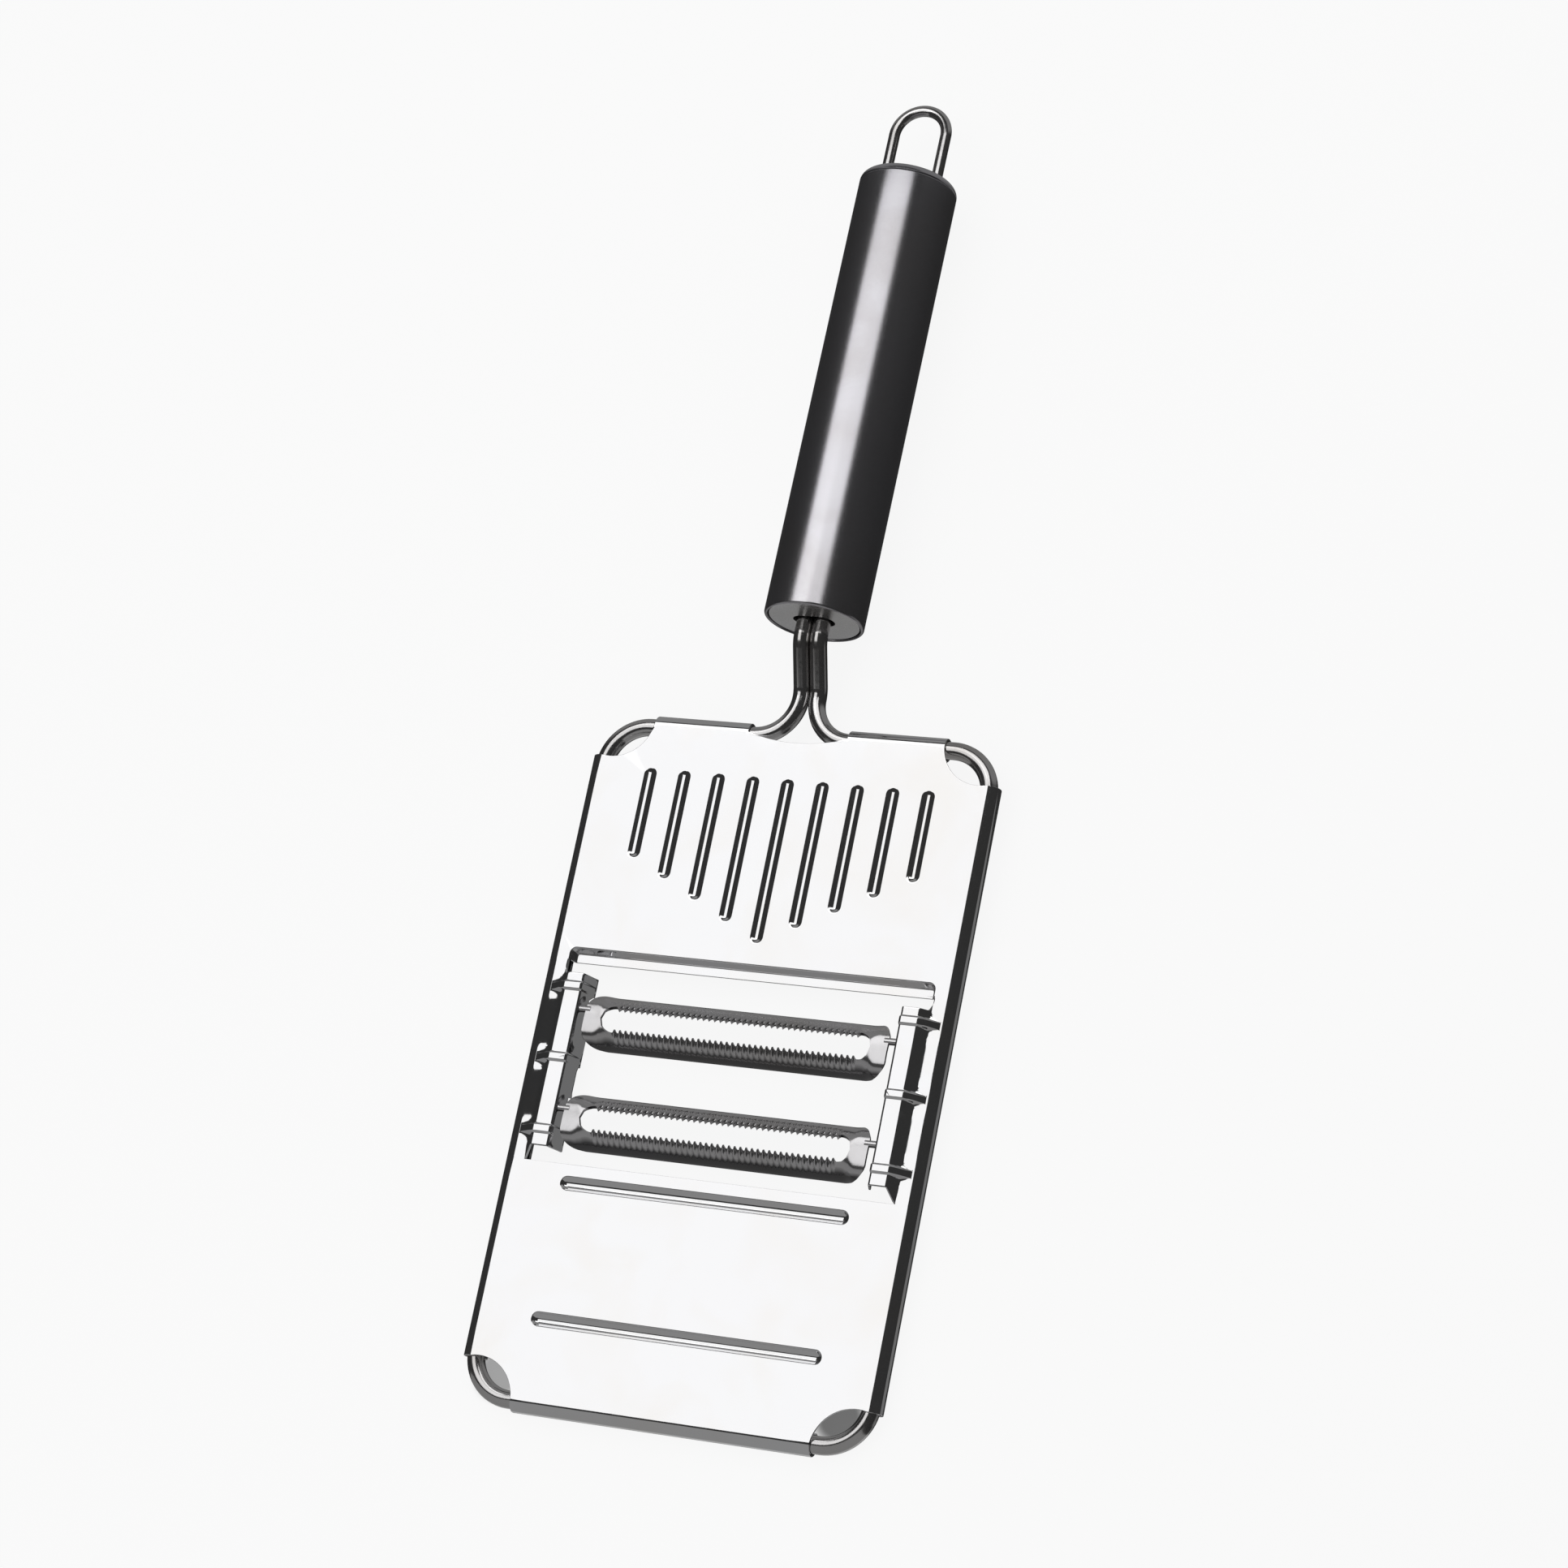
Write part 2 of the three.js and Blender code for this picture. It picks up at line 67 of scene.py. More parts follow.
GROOVE_HALF = 1.8
LONG_GROOVES = {"count": 9, "pitch": 8.06, "top": 65, "shortest": 21.2, "step": 4.1}
CROSS_GROOVES = {"half": 33, "y": (-28.2, -57.4)}

WINDOW = {"half": 42.1, "bottom": -24.1, "top": 23.25, "corner": 1.6, "lip": 20.2, "step": 2.4}
BRACKET = {
    "top": 16.9,
    "bottom": -21.3,
    "height": 2.4,
    "crown_outer": 40.35,
    "crown_inner": 36.4,
    "flange_foot": 34.9,
    "flange_depth": 2.4,
    "beads": (14, -1.8, -17.6),
    "bead_height": 0.42,
    "rise": 0.3,
}
# Cut-outs along the inner flange: low Y, high Y and the height of the edge there.
RELIEFS = ((4.4, 11.8, -0.9), (-8.6, -3.8, -1.7), (-16.2, -9.4, -0.9))

# The radius is the outer face's. The ends are flattened: an arch of radius "end_crown" turns at
# "end_turn" degrees into one of radius "end_shoulder", and the whole end leans by "end_tilt".
BLADE = {
    "half": 34.6,
    "radius": 6.2,
    "strip": 0.8,
    "half_arc": 75,
    "corner": 3.6,
    "end_crown": 16,
    "end_shoulder": 4.0,
    "end_turn": 10,
    "end_tilt": 0.06,
    "pin_angle": 20,
    "pin_radius": 0.75,
    "pin_end": 37.2,
    "pin_height": 1.0,
}
PIVOTS = {"upper_blade": 9.4, "lower_blade": -12.5}
SLOT = {"half": 30.8, "teeth": 43, "pitch": 1.3, "depth": 0.8, "upper": 2.5, "lower": -1.9}
TOOTHED_HALF = SLOT["teeth"] * SLOT["pitch"] / 2

# The teeth's ground flutes: they lean along the blade and fade out away from the slot.
FLUTE = {
    "lower_length": 2.3,
    "upper_length": 2.0,
    "lower_depth": 0.55,
    "upper_depth": 0.42,
    "lower_lean": 0.12,
    "upper_lean": 0.55,
}

# Foot is where the neck enters, height is the axis there, droop is in radians, and cap is how far
# the rear cap stands out of the tube.
HANDLE = {
    "radius": 10.998,
    "wall": 0.8,
    "length": 106.35,
    "foot": 99.03,
    "height": 3.45,
    "droop": 0.03,
    "rim": 0.6,
    "cap": 2,
    "seam": 0.15,
}
NECK = {"half_gap": 1.95, "upper": 95, "lower": 85.2, "bend": 5, "flare": 9.2, "tail": 26}
LOOP = {"radius": 1.25, "half": 6.13, "reach": 18.2, "tail": 9, "hole": 1.4}

# ------------------------------------------------------------------ stage and camera

FLOOR_GLOW = 0.9
FLOOR_REACH = 3.0
# Shadows painted into the floor's glow where the near corners touch it: X and Y in millimetres, and
# depth. Each is even up to the first radius and gone at the second, in metres.
PAINTED_CONTACT_SHADOWS = ((-39.4, -68.6, 0.62), (37.0, -68.0, 0.84))
SHADOW_RADII = (0.0035, 0.0075)

# The room's strength as the camera sees it. Apart from the lights, the steel mirrors a dark room
# with two faint areas.
ROOM_GLOW = 0.6
MIRRORED_AREAS = 0.2
MIRRORED_BASE = 0.03

# Place in metres and angles in degrees, in the slicer's own frame.
CAMERA = {
    "lens": 96.35,
    "sensor": 36,
    "place": (0.34313, -0.18357, 0.78944),
    "turn": (20.398, 19.911, 11.832),
}
# From the origin to the mount on the slicing face, in metres along the plate.
FACE_OFFSET = -0.043


def row_frame():
    """The matrix from the slicer's own frame in millimetres to the CAD model's frame in metres."""
    mounts = {m["name"]: m for m in frame["record"]["mounts"]}
    face = mounts["slicing_face"]
    tilt = math.atan2(-face["axis"][1], face["axis"][2])
    turn = Matrix.Rotation(tilt, 4, "X")
    offset = Vector(face["pos_m"]) - turn @ Vector((0, FACE_OFFSET, 0))
    return Matrix.Translation(offset) @ turn


RIGID = row_frame()
TO_ROW = RIGID @ Matrix.Scale(0.001, 4)
HANDLE_PLACE = Matrix.Translation((0, HANDLE["foot"], HANDLE["height"])) @ Matrix.Rotation(
    -HANDLE["droop"], 4, "X"
)

# ------------------------------------------------------------------ mesh tools


class Surface:
    """Faces gathered from several patches. Points that coincide become one at the end."""

    def __init__(self):
        self.points = []
        self.faces = []

    def grid(self, rows, closed=False):
        """Quads between neighbouring rows of points, which may have different lengths."""
        starts = []
        for row in rows:
            starts.append(len(self.points))
            self.points.extend(row)
        for i in range(len(rows) - 1):
            count = min(len(rows[i]), len(rows[i + 1]))
            last = count if closed else count - 1
            for j in range(last):
                k = (j + 1) % count
                a, b = starts[i], starts[i + 1]
                self.faces.append((a + j, a + k, b + k, b + j))

    def flat(self, outline, holes, z, corners=()):
        """A level region inside an outline and outside its holes. A ring of points round each of
        the given corners keeps the shading of its folded edge from spreading over the sheet."""
        points, edges = [], []
        for loop in [outline, *holes]:
            first = len(points)
            points.extend(Vector(p[:2]) for p in loop)
            edges.extend((first + i, first + (i + 1) % len(loop)) for i in range(len(loop)))
        for x, y in corners:
            ring = [Vector(p) for p in arc(x, y, 0.6, 15, 345, 11)]
            points.extend(p for p in ring if inside(p, outline))
        verts, _, faces = delaunay_2d_cdt(points, edges, [], 0, 1e-7)[:3]
        base = len(self.points)
        self.points.extend((v.x, v.y, z) for v in verts)
        for face in faces:
            middle = sum((verts[i] for i in face), Vector((0, 0))) / len(face)
            if inside(middle, outline) and not any(inside(middle, hole) for hole in holes):
                self.faces.append(tuple(base + i for i in face))

    def build(self, name, place, up=None):
        """A mesh object in the row frame. With up set, level faces are made to look up."""
        mesh = bpy.data.meshes.new(name)
        bm = bmesh.new()
        verts = [bm.verts.new(p) for p in self.points]
        for face in self.faces:
            if len(set(face)) > 2:
                bm.faces.new([verts[i] for i in face])
        bmesh.ops.remove_doubles(bm, verts=bm.verts, dist=1e-3)
        bmesh.ops.dissolve_degenerate(bm, edges=bm.edges, dist=1e-4)
        bmesh.ops.recalc_face_normals(bm, faces=bm.faces)
        if up:
            level = [f for f in bm.faces if abs(f.normal.z) > 0.999]
            if sum(f.normal.z * f.calc_area() for f in level) < 0:
                bmesh.ops.reverse_faces(bm, faces=bm.faces)
        bm.transform(place)
        bm.to_mesh(mesh)
        bm.free()
        piece = bpy.data.objects.new(name, mesh)
        bpy.context.scene.collection.objects.link(piece)
        return piece


def inside(point, outline):
    """Whether a point in the plane is inside a closed outline."""
    x, y = point[0], point[1]
    found = False
    for i, (ax, ay) in enumerate(p[:2] for p in outline):
        bx, by = outline[i - 1][:2]
        if (ay > y) != (by > y) and x < (bx - ax) * (y - ay) / (by - ay) + ax:
            found = not found
    return found


def arc(x, y, radius, start, end, steps):
    """Points on an arc, with its angles in degrees."""
    angles = [math.radians(start + (end - start) * i / steps) for i in range(steps + 1)]
    return [(x + radius * math.cos(a), y + radius * math.sin(a)) for a in angles]


def spread(start, end, steps):
    """Evenly spaced values from start to end."""
    return [start + (end - start) * i / steps for i in range(steps + 1)]


def mirrored(points):
    """The points on the other side of the slicer."""
    return [(-p[0], *p[1:]) for p in points]


def tidy_loop(points):
    """The outline without points that repeat the one before them."""
    kept = []
    for p in points:
        if not kept or math.dist(p[:2], kept[-1][:2]) > 1e-4:
            kept.append(p)
    if math.dist(kept[0][:2], kept[-1][:2]) < 1e-4:
        kept.pop()
    return kept


def smooth_step(value):
    """0 up to 0, 1 from 1 on, and a smooth rise between."""
    value = min(max(value, 0.0), 1.0)
    return value * value * (3 - 2 * value)


def bent_path(corners, step):
    """Points and directions along a line that bends at its corners, each (point, bend radius)."""
    points, directions = [], []
    for i, (at, bend) in enumerate(corners):
        at = Vector(at)
        into = (at - Vector(corners[i - 1][0])).normalized() if i else None
        out = (Vector(corners[i + 1][0]) - at).normalized() if i + 1 < len(corners) else None
        if into is None or out is None:
            points.append(at)
            directions.append(into or out)
            continue
        turn = into.angle(out)
        start = at - into * (bend * math.tan(turn / 2))
        side = (out - into * into.dot(out)).normalized()
        steps = max(3, math.ceil(turn / math.radians(step)))
        for j in range(steps + 1):
            angle = turn * j / steps
            along = into * math.sin(angle) + side * (1 - math.cos(angle))
            points.append(start + along * bend)
            directions.append(into * math.cos(angle) + side * math.sin(angle))
    return points, directions


def rod(surface, corners, radius, sides=32, step=5):
    """A round rod along a bent line, with closed ends."""
    points, directions = bent_path(corners, step)
    across = directions[0].orthogonal().normalized()
    rings = []
    for point, direction in zip(points, directions):
        across = (across - direction * across.dot(direction)).normalized()
        other = direction.cross(across)
        ring = []
        for k in range(sides):
            angle = 2 * math.pi * k / sides
            ring.append(point + (across * math.cos(angle) + other * math.sin(angle)) * radius)
        rings.append(ring)
    rings.insert(0, [points[0]] * sides)
    rings.append([points[-1]] * sides)
    surface.grid(rings, closed=True)


def turned(surface, profile, segments=128):
    """A turned piece about local Y, from [radius, y] points."""
    rings = []
    for radius, y in profile:
        ring = []
        for k in range(segments):
            angle = 2 * math.pi * k / segments
            ring.append((radius * math.cos(angle), y, radius * math.sin(angle)))
        rings.append(ring)
    surface.grid(rings, closed=True)


def rounded_line(corners, radii, straight_steps, arc_steps):
    """A line with its inner corners rounded. The number of points depends only on the steps."""
    line = [Vector(c) for c in corners]
    starts, arcs = [line[0]], []
    for i in range(1, len(line) - 1):
        into = (line[i] - line[i - 1]).normalized()
        out = (line[i + 1] - line[i]).normalized()
        turn = into.angle(out)
        side = (out - into * into.dot(out)).normalized()
        start = line[i] - into * (radii[i - 1] * math.tan(turn / 2))
        bend = []
        for j in range(arc_steps + 1):
            angle = turn * j / arc_steps
            along = into * math.sin(angle) + side * (1 - math.cos(angle))
            bend.append(start + along * radii[i - 1])
        arcs.append(bend)
    points = [line[0]]
    for i, steps in enumerate(straight_steps):
        target = arcs[i][0] if i < len(arcs) else line[-1]
        origin = points[-1]
        points.extend(origin.lerp(target, (j + 1) / steps) for j in range(steps))
        if i < len(arcs):
            points.extend(arcs[i][1:])
    return [(p.x, p.y) for p in points]


def finish_piece(piece, material, body, replaced, sharp=38):
    """Smooth shading, material, body and the CAD nodes that the piece stands for."""
    mesh = piece.data
    mesh.polygons.foreach_set("use_smooth", [True] * len(mesh.polygons))
    mesh.set_sharp_from_angle(angle=math.radians(sharp))
    mesh.materials.clear()
    mesh.materials.append(material)
    weigh = piece.modifiers.new("weighted_normal", "WEIGHTED_NORMAL")
    weigh.keep_sharp = True
    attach(piece, body)
    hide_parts(*replaced)


def apply_modifiers(piece):
    """Replaces the piece's mesh by what its modifiers make of it."""
    bpy.context.view_layer.update()
    graph = bpy.context.evaluated_depsgraph_get()
    mesh = bpy.data.meshes.new_from_object(piece.evaluated_get(graph))
    piece.modifiers.clear()
    old = piece.data
    piece.data = mesh
    bpy.data.meshes.remove(old)


def drill(piece, cutter):
    """Takes the cutter's volume out of the piece."""
    cut = piece.modifiers.new("drill", "BOOLEAN")
    cut.operation = "DIFFERENCE"
    cut.solver = "EXACT"
    cut.object = cutter
    apply_modifiers(piece)
    bpy.data.objects.remove(cutter)


# ------------------------------------------------------------------ materials


def noise(tree, vector, scale, detail, roughness=0.5, distortion=0.0):
    """The value of a noise texture."""
    node = tree.nodes.new("ShaderNodeTexNoise")
    node.inputs["Scale"].default_value = scale
    node.inputs["Detail"].default_value = detail
    node.inputs["Roughness"].default_value = roughness
    node.inputs["Distortion"].default_value = distortion
    tree.links.new(vector, node.inputs["Vector"])
    return node.outputs["Fac"]


def remap(tree, value, low, high, start=0.0, end=1.0, smooth=False):
    """The value, mapped from low..high to start..end and clamped."""
    node = tree.nodes.new("ShaderNodeMapRange")
    if smooth:
        node.interpolation_type = "SMOOTHSTEP"
    node.inputs["From Min"].default_value = low
    node.inputs["From Max"].default_value = high
    node.inputs["To Min"].default_value = start
    node.inputs["To Max"].default_value = end
    tree.links.new(value, node.inputs["Value"])
    return node.outputs["Result"]


def combine(tree, operation, *values):
    """A math node on sockets and numbers."""
    node = tree.nodes.new("ShaderNodeMath")
    node.operation = operation
    for socket, value in zip(node.inputs, values):
        if isinstance(value, (int, float)):
            socket.default_value = value
        else:
            tree.links.new(value, socket)
    return node.outputs["Value"]


def blend(tree, factor, first, second):
    """A mix of two colours, each a socket or three numbers."""
    node = tree.nodes.new("ShaderNodeMix")
    node.data_type = "RGBA"
    tree.links.new(factor, node.inputs["Factor"])
    for key, colour in (("A", first), ("B", second)):
        if isinstance(colour, (list, tuple)):
            node.inputs[key].default_value = (*colour, 1)
        else:
            tree.links.new(colour, node.inputs[key])
    return node.outputs["Result"]


def paint_shade_away_from_handle(tree, colour, normal, shaded_face_share):
    """Painted shade: the colour, brought down to the given share on faces that look away from the
    handle.
    """
    axes = tree.nodes.new("ShaderNodeSeparateXYZ")
    tree.links.new(normal, axes.inputs["Vector"])
    scale = tree.nodes.new("ShaderNodeVectorMath")
    scale.operation = "SCALE"
    tree.links.new(colour, scale.inputs[0])
    share = remap(tree, axes.outputs["Y"], -0.74, -0.56, start=shaded_face_share)
    tree.links.new(share, scale.inputs["Scale"])
    return scale.outputs["Vector"]


def steel(name, colour, roughness, grain, bump, stretch=(1, 1, 1), tarnish=0.12, shaded_face_share=1.0):
    """Stainless steel: grain in its roughness and bump, cloudy handling marks, bright worn edges.
    Its last argument is how bright the faces that look away from the handle are; below 1 it paints
    shade on them."""
    material = bpy.data.materials.new(name)
    material.use_nodes = True
    tree = material.node_tree
    shader = tree.nodes["Principled BSDF"]
    shader.inputs["Metallic"].default_value = 1.0
    place = tree.nodes.new("ShaderNodeTexCoord")
    mapping = tree.nodes.new("ShaderNodeMapping")
    mapping.inputs["Scale"].default_value = stretch
    tree.links.new(place.outputs["Object"], mapping.inputs["Vector"])
    fine = noise(tree, mapping.outputs["Vector"], grain, 4, roughness=0.6)
    cloud = noise(tree, place.outputs["Object"], 45, 5, distortion=0.6)

    uneven = combine(tree, "MULTIPLY_ADD", cloud, 0.45, fine)
    rough = remap(tree, uneven, 0.45, 1.0, roughness[0], roughness[1])
    tree.links.new(rough, shader.inputs["Roughness"])

    dull = [c * (1 - tarnish) * warmth for c, warmth in zip(colour, (1, 0.985, 0.96))]
    tint = blend(tree, remap(tree, cloud, 0.45, 0.7), colour, dull)
    edge = tree.nodes.new("ShaderNodeNewGeometry")
    worn = remap(tree, edge.outputs["Pointiness"], 0.52, 0.62)
    shade = blend(tree, worn, tint, [min(1, c * 1.12) for c in colour])
    # Painted shade: faces that look away from the handle are darkened in the colour.
    if shaded_face_share < 1:
        shade = paint_shade_away_from_handle(tree, shade, place.outputs["Normal"], shaded_face_share)
    tree.links.new(shade, shader.inputs["Base Color"])

    relief = tree.nodes.new("ShaderNodeBump")
    relief.inputs["Strength"].default_value = bump
    relief.inputs["Distance"].default_value = 0.00002
    tree.links.new(fine, relief.inputs["Height"])
    tree.links.new(relief.outputs["Normal"], shader.inputs["Normal"])
    return material


polished_sheet = steel("polished_sheet", (0.86, 0.86, 0.87), (0.04, 0.09), 900, 0.04, tarnish=0.02)
drawn_wire = steel("drawn_wire", (0.66, 0.65, 0.65), (0.1, 0.2), 1500, 0.12, tarnish=0.1)
# The blades' colour holds painted shade on the faces that look away from the handle.
ground_blade_painted_shade = steel(
    "ground_blade_painted_shade", (0.66, 0.65, 0.66), (0.16, 0.24), 5200, 0.05, (1, 0.3, 0.3), shaded_face_share=0.2
)
satin_handle = steel("satin_handle", (0.58, 0.57, 0.6), (0.17, 0.26), 5200, 0.35, (1, 0.6, 1))
satin_cap = steel("satin_cap", (0.85, 0.85, 0.86), (0.2, 0.3), 5200, 0.3)

# ------------------------------------------------------------------ wire frame


def handle_height(y):
    """The height of the handle's axis at Y."""
    return HANDLE["height"] - HANDLE["droop"] * (y - HANDLE["foot"])


def make_wire_frame():
    """One rod: up one neck leg, round the plate in both directions and up the other leg."""
    tail = HANDLE["foot"] + NECK["tail"]

    def leg(side):
        x = side * NECK["half_gap"]
        return [
            ((x, tail, handle_height(tail)), 0),
            ((x, NECK["upper"], handle_height(NECK["upper"])), NECK["bend"]),
            ((x, NECK["lower"], WIRE_Z), NECK["bend"]),
            ((x, WIRE_Y, WIRE_Z), NECK["flare"]),
            ((side * WIRE_X, WIRE_Y, WIRE_Z), CORNER_BEND),
            ((side * WIRE_X, -WIRE_Y, WIRE_Z), CORNER_BEND),
        ]

    surface = Surface()
    rod(surface, [*leg(-1), *reversed(leg(1))], WIRE_RADIUS)
    piece = surface.build("bent_wire_frame", TO_ROW)
    finish_piece(piece, drawn_wire, "frame", ["wire_frame"])


# ------------------------------------------------------------------ slicing plate


def add_bend(profile, radius, start, end, steps):
    """Adds an arc to a profile of insets and heights, from one slope to another, in radians."""
    inset, height = profile[-1]
    for j in range(1, steps + 1):
        a = start + (end - start) * j / steps
        across = radius * abs(math.sin(a) - math.sin(start))
        down = radius * abs(math.cos(a) - math.cos(start))
        profile.append((inset + across, height - down))


def groove_profile(along_x):
    """Inset from the groove's edge and height, from the edge to its middle line. The cross grooves
    are pressed deeper than the long ones."""
    shoulder, corner, bottom = (0.55, 1.9, 1.5) if along_x else (1.38, 2.6, 1.8)
    steep, gentle = math.radians(50 if along_x else 28), math.radians(12)
    profile = [(0.0, 0.0), (0.1, 0.0)]
    add_bend(profile, shoulder, 0, steep, 7)
    add_bend(profile, corner, steep, gentle, 7)
    add_bend(profile, bottom, gentle, 0, 3)
    scale = GROOVE_HALF / profile[-1][0]
    return [(inset * scale, z) for inset, z in profile]


def groove_ring(x, y, half, along_x, inset):
    """A round-ended outline about (x, y), half long along X or Y, at an inset from its edge."""
    radius = GROOVE_HALF - inset
    reach = half - GROOVE_HALF
    ends = arc(reach, 0, radius, -90, 90, 12) + arc(-reach, 0, radius, 90, 270, 12)
    if along_x:
        return [(x + a, y + b) for a, b in ends]
    return [(x - b, y + a) for a, b in ends]


def add_groove(surface, x, y, half, along_x):
    """Adds a pressed groove and returns its outline in the plate."""
    profile = groove_profile(along_x)
    rings = [
        [(px, py, z) for px, py in groove_ring(x, y, half, along_x, inset)] for inset, z in profile
    ]
    surface.grid(rings, closed=True)
    return [p[:2] for p in rings[0]]


def long_grooves(surface):
    """Adds the row of grooves by the handle, longest in the middle, and returns their outlines."""
    middle = (LONG_GROOVES["count"] - 1) / 2
    outlines = []
    for i in range(LONG_GROOVES["count"]):
        length = LONG_GROOVES["shortest"] + LONG_GROOVES["step"] * (middle - abs(i - middle))
        x = (i - middle) * LONG_GROOVES["pitch"]
        outlines.append(add_groove(surface, x, LONG_GROOVES["top"] - length / 2, length / 2, False))
    return outlines


def cross_grooves(surface):
    """Adds the two grooves across the far half and returns their outlines."""
    half = CROSS_GROOVES["half"]
    return [add_groove(surface, 0, y, half, True) for y in CROSS_GROOVES["y"]]


def notch_arc():
    """The corner notch on the +X +Y corner, from the side edge to the end edge."""
    c = CORNER_NOTCH
    side = math.degrees(math.acos((WIRE_X - c["x"]) / c["radius"]))
    end = math.degrees(math.asin((c["y"] - WIRE_Y) / c["radius"]))
    return arc(c["x"], c["y"], c["radius"], -side, -180 + end, 16)


def neck_scallop():
    """The scallop in the far edge, from +X to -X."""
    half, sag = NECK_NOTCH["half"], NECK_NOTCH["depth"]
    radius = (half * half + sag * sag) / (2 * sag)
    wide = math.degrees(math.asin(half / radius))
    return arc(0, WIRE_Y + radius - sag, radius, -90 + wide, -90 - wide, 16)


# Steps along the straight parts of a section across a bracket, from the rolled edge inwards (land,
# wall, crown and flange), and along each bend between them.
SECTION_STEPS = (5, 3, 5, 4)
ARC_STEPS = 5
WALL_COLUMNS = SECTION_STEPS[0] + ARC_STEPS + SECTION_STEPS[1] + 1
LAND_COLUMNS = SECTION_STEPS[0] + 1


def flange_point(height):
    """The point of the leaning inner flange at a height, as (x, z)."""
    b = BRACKET
    slope = (b["crown_inner"] - b["flange_foot"]) / (b["height"] + b["flange_depth"])
    return (b["flange_foot"] + (height + b["flange_depth"]) * slope, height)


def flange_edge(y):
    """Height of the flange's lower edge, with its lugs and the cut-outs between them."""
    depth = -BRACKET["flange_depth"]
    for low, high, height in RELIEFS:
        if low - 1 <= y <= high + 1:
            beyond = max(low - y, y - high, 0)
            if beyond <= 0.85:
                return height + (depth + 0.5 - height) * beyond / 0.85
            return depth + 0.5 - 0.5 * (beyond - 0.85) / 0.15
    return depth


def land_rise(y):
    """How far the pressing has drawn the land up at the wall's foot, between the beads."""
    beads = BRACKET["beads"]
    if not min(beads) < y < max(beads):
        return 0
    away = min(abs(y - at) for at in beads)
    return BRACKET["rise"] * smooth_step((away - 1.6) / 3)


def bracket_section(y):
    """The section at Y, as (x, z) points: between a plain one and one along a bead's crest."""
    b = BRACKET
    edge = flange_point(flange_edge(y))
    top = b["height"]
    raised = top + b["bead_height"]
    foot = (WINDOW["half"], land_rise(y))
    plain = [(WIRE_X, 0), foot, (b["crown_outer"], top), (b["crown_inner"], top), edge]
    bead = [
        (WIRE_X, 0),
        (WIRE_X - 0.06, 0),
        (b["crown_outer"] + 0.1, raised),
        (b["crown_inner"] - 0.1, raised),
        edge,
    ]
    plain = rounded_line(plain, (0.5, 0.6, 0.6), SECTION_STEPS, ARC_STEPS)
    bead = rounded_line(bead, (0.15, 0.8, 0.7), SECTION_STEPS, ARC_STEPS)
    near = min(abs(y - at) for at in b["beads"])
    points = []
    for i, (p, q) in enumerate(zip(plain, bead)):
        widening = 1 - smooth_step((i - LAND_COLUMNS + 3) / 9)
        half = 0.62 + 0.75 * widening
        flank = 0.5 + 1.1 * widening
        share = smooth_step((half + flank - near) / flank)
        points.append((p[0] + (q[0] - p[0]) * share, p[1] + (q[1] - p[1]) * share))
    return points


def bracket_stations():
    """Y of each section, and the share of the wall's height that stands there beyond the
    bracket's ends (None between them)."""
    b = BRACKET
    stations = {WINDOW["bottom"], b["bottom"], b["top"], WINDOW["lip"], b["top"] + 0.12}
    stations.update(spread(WINDOW["bottom"], b["bottom"], 6))
    stations.update(spread(b["bottom"], b["top"], 76))
    stations.update(spread(b["top"] + 0.12, WINDOW["lip"], 7))
    for at in b["beads"]:
        stations.update(at + side * d for side in (-1, 1) for d in spread(0.5, 2.0, 12))
    for low, high, _ in RELIEFS:
        stations.update((low - 1, low - 0.85, low, high, high + 0.85, high + 1))
    ordered = []
    for y in sorted(stations):
        if not ordered or y - ordered[-1] > 0.02:
            ordered.append(y)
    heights = []
    for y in ordered:
        if y < b["bottom"] - 1e-6:
            heights.append((y - WINDOW["bottom"]) / (b["bottom"] - WINDOW["bottom"]))
        elif y > b["top"] + 1e-6:
            heights.append(0.3 * max(0, 1 - (y - b["top"]) / 1.5) ** 2)
        else:
            heights.append(None)
    return list(zip(ordered, heights))


STATIONS = bracket_stations()
LAND_X = spread(WIRE_X, WINDOW["half"], SECTION_STEPS[0])


def bracket_rows():
    """Rows of points across the +X bracket, with its walls running out beyond its ends."""
    rows = []
    for y, height in STATIONS:
        section = bracket_section(y)
        if height is not None:
            foot = (WINDOW["half"], 0)
            wall = section[LAND_COLUMNS - 1 : WALL_COLUMNS]
            wall = [(foot[0] + (x - foot[0]) * height, z * height) for x, z in wall]
            edge = wall[0][0]
            section = [(x, 0) for x in spread(WIRE_X, edge, SECTION_STEPS[0])[:-1]] + wall
        rows.append([(x, y, z) for x, z in section])
    return rows


def window_path():
    """The top line of the step down at the window's far side, from +X to -X, with inward normals."""
    half, top, corner, lip = (WINDOW[k] for k in ("half", "top", "corner", "lip"))
    points = [(half, lip), (half, top - corner)]
    normals = [(-1, 0), (-1, 0)]
    for x, y in arc(0, 0, 1, 0, 90, 8)[1:]:
        points.append((half - corner + corner * x, top - corner + corner * y))
        normals.append((-x, -y))
    for x in spread(half - corner, corner - half, 12)[1:-1]:
        points.append((x, top))
        normals.append((0, -1))
    left = list(reversed(mirrored(points[:10])))
    left_normals = list(reversed(mirrored(normals[:10])))
    return points + left, normals + left_normals


def add_window_lip(surface):
    """The step down: a rounded ramp along the window's far side and the level strip below it."""
    points, normals = window_path()
    depth = WINDOW["step"]
    ramp = [(0, 0), (0.3, 0), (1.0, -depth), (1.35, -depth)]
    sides = list(zip(points, normals))
    rows = []
    for inset, z in rounded_line(ramp, (0.38, 0.38), (1, 3, 1), 6):
        rows.append([(x + nx * inset, y + ny * inset, z) for (x, y), (nx, ny) in sides])
    surface.grid(rows)
    surface.flat([p[:2] for p in rows[-1]], [], -depth)
    return points


